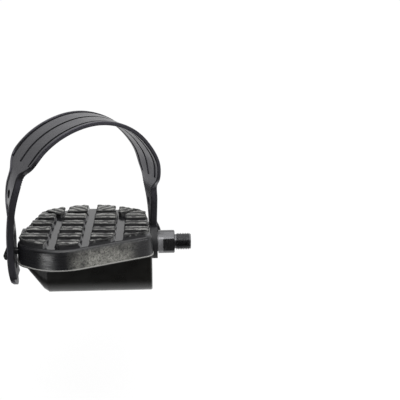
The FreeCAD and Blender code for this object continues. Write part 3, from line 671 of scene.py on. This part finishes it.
def photo_camera(scene):
    """Camera at the photograph's viewing angle."""
    camera = bpy.data.objects.new("camera", bpy.data.cameras.new("camera"))
    camera.data.lens = CAMERA_LENS
    camera.data.sensor_width = CAMERA_SENSOR
    camera.data.clip_start = CAMERA_NEAR
    camera.location = CAMERA_PLACE
    camera.rotation_euler = CAMERA_FORWARD.to_track_quat("-Z", "Y").to_euler()
    scene.collection.objects.link(camera)
    scene.camera = camera


def room_light(scene):
    """Soft light of a white room, dim in front and on the left."""
    scene.world = bpy.data.worlds.new("studio")
    tree = empty_tree(scene.world)
    way = add(tree, "ShaderNodeTexCoord").outputs["Generated"]
    aside, depth, height = add(tree, "ShaderNodeSeparateXYZ", [way]).outputs
    back = add(tree, "ShaderNodeMapRange", (depth, *ROOM_BACK),
               interpolation_type="SMOOTHSTEP").outputs[0]
    over = add(tree, "ShaderNodeMapRange", (height, *ROOM_OVER),
               interpolation_type="SMOOTHSTEP").outputs[0]
    room = add(tree, "ShaderNodeMath", (back, over), operation="MAXIMUM").outputs[0]
    left = add(tree, "ShaderNodeMapRange", (aside, *ROOM_LEFT)).outputs[0]
    room = add(tree, "ShaderNodeMath", (room, left), operation="MULTIPLY").outputs[0]
    seen = add(tree, "ShaderNodeLightPath").outputs["Is Camera Ray"]
    level = add(tree, "ShaderNodeMix", {0: seen, 2: room, 3: 1.0}).outputs[0]
    light = add(tree, "ShaderNodeBackground", {"Color": (1, 1, 1, 1), "Strength": level})
    add(tree, "ShaderNodeOutputWorld", {"Surface": light.outputs[0]})


def white_floor():
    """White floor. The sheet on it ends near the pedal, so some faces mirror a dark room."""
    material = bpy.data.materials.new("floor_white")
    tree = empty_tree(material)
    paths = add(tree, "ShaderNodeLightPath").outputs
    spot = add(tree, "ShaderNodeNewGeometry").outputs["Position"]
    aside, depth, _ = add(tree, "ShaderNodeSeparateXYZ", [spot]).outputs
    front = add(tree, "ShaderNodeMapRange", (depth, *SHEET_FRONT),
                interpolation_type="SMOOTHSTEP").outputs[0]
    left = add(tree, "ShaderNodeMapRange", (aside, *SHEET_LEFT),
               interpolation_type="SMOOTHSTEP").outputs[0]
    further = add(tree, "ShaderNodeMapRange", (depth, *SHEET_FURTHER)).outputs[0]
    left = add(tree, "ShaderNodeMath", (left, further), operation="MAXIMUM").outputs[0]
    behind = add(tree, "ShaderNodeMath", (front, left), operation="MULTIPLY").outputs[0]
    right = add(tree, "ShaderNodeMapRange", (aside, *SHEET_RIGHT),
                interpolation_type="SMOOTHSTEP").outputs[0]
    sheet = add(tree, "ShaderNodeMath", (behind, right), operation="MAXIMUM").outputs[0]
    mirrored = add(tree, "ShaderNodeMath", (paths["Is Glossy Ray"], paths["Is Transmission Ray"]),
                   operation="ADD", use_clamp=True).outputs[0]
    mirrored = add(tree, "ShaderNodeMath", (mirrored, sheet), operation="MULTIPLY").outputs[0]
    seen = paths["Is Camera Ray"]
    direct = add(tree, "ShaderNodeMath", (seen, mirrored), operation="MAXIMUM").outputs[0]
    distant = add(tree, "ShaderNodeMapRange", (depth, *FLOOR_DISTANT)).outputs[0]
    share = add(tree, "ShaderNodeMath", (direct, distant), operation="MULTIPLY").outputs[0]
    pale = add(tree, "ShaderNodeMath", (seen, sheet), operation="MAXIMUM").outputs[0]
    tone = add(tree, "ShaderNodeMix", {0: pale, 6: paint(FLOOR_DARK), 7: paint(FLOOR_PALE)},
               data_type="RGBA").outputs[2]
    card = add(tree, "ShaderNodeBsdfDiffuse", {"Color": tone}).outputs[0]
    glow = add(tree, "ShaderNodeEmission", {
        "Color": (1, 1, 1, 1), "Strength": FLOOR_GLOW}).outputs[0]
    both = add(tree, "ShaderNodeMixShader", (share, card, glow))
    add(tree, "ShaderNodeOutputMaterial", {"Surface": both.outputs[0]})
    return material


def studio():
    """Pale floor, soft light and the photograph's camera."""
    scene = bpy.context.scene
    scene.view_settings.view_transform = "Standard"
    photo_camera(scene)
    room_light(scene)

    bm = bmesh.new()
    bmesh.ops.create_grid(bm, x_segments=1, y_segments=1, size=FLOOR_SIZE,
                          matrix=Matrix.Translation((0, 0, -FLOOR_DROP)))
    mesh = bpy.data.meshes.new("floor")
    bm.to_mesh(mesh)
    bm.free()
    mesh.materials.append(white_floor())
    floor = bpy.data.objects.new("floor", mesh)
    scene.collection.objects.link(floor)

    for name, (place, width, height, bright) in LAMPS.items():
        lamp = bpy.data.objects.new(name, bpy.data.lights.new(name, "AREA"))
        lamp.data.shape = "RECTANGLE"
        lamp.data.size = width
        lamp.data.size_y = height
        # Power that gives this brightness at the pedal from any distance
        lamp.data.energy = bright * math.pi ** 2 * (place - LAMP_AIM).length ** 2
        lamp.location = place
        lamp.rotation_euler = (LAMP_AIM - place).to_track_quat("-Z", "Y").to_euler()
        scene.collection.objects.link(lamp)


def dress(materials):
    """Gives every CAD node its finish; a node with no entry is one of the balls."""
    for name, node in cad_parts.items():
        node.data.materials.clear()
        node.data.materials.append(materials.get(name, materials["ball"]))


black_oxide = steel("black_oxide_steel", skin=("4e4e50", "686869"), rough=(0.24, 0.34), mark=0.4,
                    painted_runout_highlight=True)
race = steel("ground_steel", skin=("9a9a9c", "b8b8ba"), rough=(0.15, 0.25), mark=0.3)
zinc = steel("zinc_plated_steel", skin=("8c8d90", "b2b3b6"), rough=(0.25, 0.4), mark=0.8)
polished = steel("ball_steel", skin=("c4c4c8", "d6d6da"), rough=(0.04, 0.08), mark=0.5)
rubber = rough_solid("seal_rubber", skin=("101010", "1c1c1c"), rough=0.8, size=0.6, depth=0.05 * MM)
iron = rough_solid("cast_iron", skin=("38373a", "55534f"), rough=0.75, size=1.5, depth=0.25 * MM)
nylon = moulded_nylon()
dress({
    "platform": nylon, "dust_cap": nylon, "lower_cover": cover_plastic(), "strap": strap_vinyl(),
    "spindle": black_oxide, "outer_cone": race, "keyed_washer": zinc, "lock_nut": zinc,
    "inner_cup": race, "outer_cup": race, "dust_seal": rubber, "counterweight": iron,
    "cover_screws": zinc, "ball": polished,
})
tread_caps(tread_rubber())
spindle_body(black_oxide)
crank_thread(black_oxide)
cover_screws(zinc)
studio()
